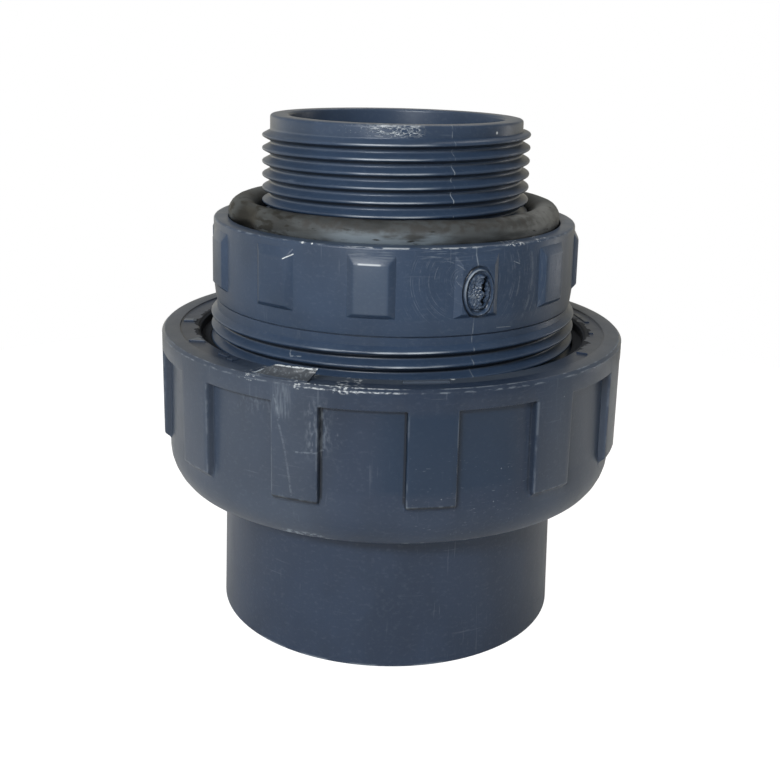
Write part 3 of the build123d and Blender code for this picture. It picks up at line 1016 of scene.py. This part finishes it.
def rubber_finish():
    """Dusty black rubber with smeared soot, painted sheen on its front and right, and a dent
    painted dark.
    """
    finish = Finish("rubber_ring", DUST, RING_R)
    smears = finish.grain(1.6, (5, 5, 1.2), 5.0)
    finish.paint(smears.between(0.62, 0.38), BARE_RUBBER)
    # painted highlight: a pale bluish band on the ring's lower front
    pale = finish.window((-20, 16), (70.6, 73.8), 8, 0.6)
    finish.paint(pale * smears.between(0.34, 0.55) * 0.75, RING_FRONT_SHEEN)
    # painted sheen on the ring's right, broken up by dust smears
    right_sheen_and_dust = finish.window((42, 80), (70.6, RING_OVER), 10, 0.6)
    finish.paint(right_sheen_and_dust * smears.between(0.3, 0.55) * 0.85, RING_RIGHT_SHEEN_AND_DUST)
    brown = finish.window((-40, 60), (73.6, RING_OVER), 14, 0.6)
    finish.paint(brown * finish.grain(1.6, detail=4.0).between(0.4, 0.62) * 0.75, BROWN_DUST)
    soot = finish.grain(0.8, (3.5, 3.5, 1), 5.0)
    patch = finish.window((-80, -35), (RING_FLOOR, RING_OVER), 10, 1) * 0.15
    finish.paint((soot + patch).between(0.62, 0.74) * 0.9, SOOT)
    # the dent is painted dark
    hollow = finish.spot(11, DENT_ANGLE, RING_R + RING_SECTION_R, RING_Z - 1.4)
    finish.paint(hollow * finish.radius.between(RING_R + 0.4, RING_R + 1.0), SOOT)
    finish.paint(finish.spot(0.55, 9.9, RING_R + 1.9, 73.7), CRUMB)
    finish.paint(finish.specks(4.5, 0.26), GRIT)
    finish.roughness = 0.5 + 0.3 * smears
    finish.lift(soot * 0.06 + finish.grain(0.25, detail=3.0) * 0.02)
    return finish.done()


body_pvc, nut_pvc, socket_pvc = body_finish(), nut_finish(), socket_finish()
rubber = rubber_finish()
finished("threaded_body_moulding", threaded_body(), "bush", "pvc", body_pvc, "threaded_body")
finished("union_nut_moulding", union_nut(), "nut", "pvc", nut_pvc, "union_nut")
finished("face_ring", rubber_ring(), "bush", "rubber", rubber, "face_seal_ring")
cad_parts["socket_end"].data.materials[0] = socket_pvc
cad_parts["seat_seal_ring"].data.materials[0] = rubber


# ---- camera: metres and degrees, with the rest as shares of the frame's side ----
CAMERA_BACK, CAMERA_HEIGHT = 0.2033, 0.1036
CAMERA_DOWN, CAMERA_ROLL = 12.0, 1.39
CAMERA_SHIFT = (-0.00395, -0.144)
FOCAL = 1131.4 / 780

camera = bpy.data.cameras.new("camera")
camera.lens = FOCAL * camera.sensor_width
camera.shift_x, camera.shift_y = CAMERA_SHIFT
eye = placed("camera", camera)
eye.matrix_world = (Matrix.Translation((0, -CAMERA_BACK, CAMERA_HEIGHT))
                    @ Matrix.Rotation(math.radians(90 - CAMERA_DOWN), 4, "X")
                    @ Matrix.Rotation(math.radians(CAMERA_ROLL), 4, "Z"))
bpy.context.scene.camera = eye


# ---- floor and light: metres ----
FLOOR_R, FLOOR_COLOUR = 0.2, (0.8, 0.8, 0.8)
FLOOR_GLOW, GLOW_SHARE = 1.38, 0.7
AIM = (0, 0, 0.045)              # what the soft boxes look at
ROOM = {"all": 0.14, "left": 0.80, "right": 0.16, "behind": 0.52, "front": 0.28, "top": 0.12}
WARM, WHITE = (1, 0.95, 0.80, 1), (1, 1, 1, 1)


def studio_world():
    """White to the camera; to the object, a room that is brightest behind it and at the left."""
    world = bpy.data.worlds.new("studio")
    bpy.context.scene.world = world
    world.use_nodes = True
    room = Nodes(world.node_tree)
    aim = room.node("TexCoord", {}, {}, "Generated")
    aside, away, up = room.node("SeparateXYZ", {}, {0: aim}, ("X", "Y", "Z"))
    above = up.between(-0.32, 0.04)
    sides = (ROOM["left"] * aside.between(0, -1) + ROOM["right"] * aside.between(0, 1)
             + ROOM["behind"] * away.between(0, 1))
    warm = ROOM["all"] + ROOM["top"] * up.between(0, 1) + sides * (1 - 0.7 * up.between(0.02, 0.3))
    warm = warm * (0.34 + 0.66 * above)
    cool = ROOM["front"] * away.between(0, -1) * (0.1 + 0.9 * above)
    warm, cool, sheet = [room.node("Background", {}, {"Color": colour, "Strength": strength})
                         for colour, strength in ((WARM, warm), (WHITE, cool), (WHITE, 1.0))]
    walls = room.node("AddShader", {}, {0: warm, 1: cool})
    seen = room.node("LightPath", {}, {}, "Is Camera Ray")
    both = room.node("MixShader", {}, {0: seen, 1: walls, 2: sheet})
    room.into(room.tree.nodes["World Output"], "Surface", both)


def floor_finish():
    """A pale light table: it glows towards the camera, and lights the object only a little."""
    finish = Finish("floor", FLOOR_COLOUR)
    seen = finish.node("LightPath", {}, {}, "Is Camera Ray")
    matt = Wire(finish, finish.shader.outputs[0])
    glow = finish.node("Emission", {}, {"Color": WHITE, "Strength": FLOOR_GLOW})
    both = finish.node("MixShader", {}, {0: seen * GLOW_SHARE, 1: matt, 2: glow})
    finish.into(finish.tree.nodes["Material Output"], "Surface", both)
    return finish.done()


def lamp(name, energy, size, place, colour=(1, 1, 1)):
    """A soft box aimed at the middle of the object."""
    light = bpy.data.lights.new(name, "AREA")
    light.shape, light.size, light.size_y = "RECTANGLE", *size
    light.energy, light.color = energy, colour
    turn = (Vector(AIM) - Vector(place)).to_track_quat("-Z", "Y")
    placed(name, light).matrix_world = Matrix.Translation(place) @ turn.to_matrix().to_4x4()


bpy.context.scene.view_settings.view_transform = "Standard"
studio_world()
lamp("key", 2.0, (0.9, 0.9), (-0.8, -0.6, 1.3))
lamp("window", 7.6, (0.42, 0.12), (-0.34, -0.93, 0.6), (0.95, 0.98, 1))
lamp("door", 1.0, (0.3, 0.4), (-0.3, -0.95, 0.2), (0.93, 0.97, 1))
lamp("back", 2.6, (0.7, 0.4), (0.15, 0.7, 1.1))
lamp("side_strip", 0.6, (0.08, 0.5), (0.85, 0.4, 0.05))

bm = bmesh.new()
bmesh.ops.create_circle(bm, cap_ends=True, segments=96, radius=FLOOR_R)
floor = placed("floor", as_mesh("floor", bm))
floor.data.materials.append(floor_finish())
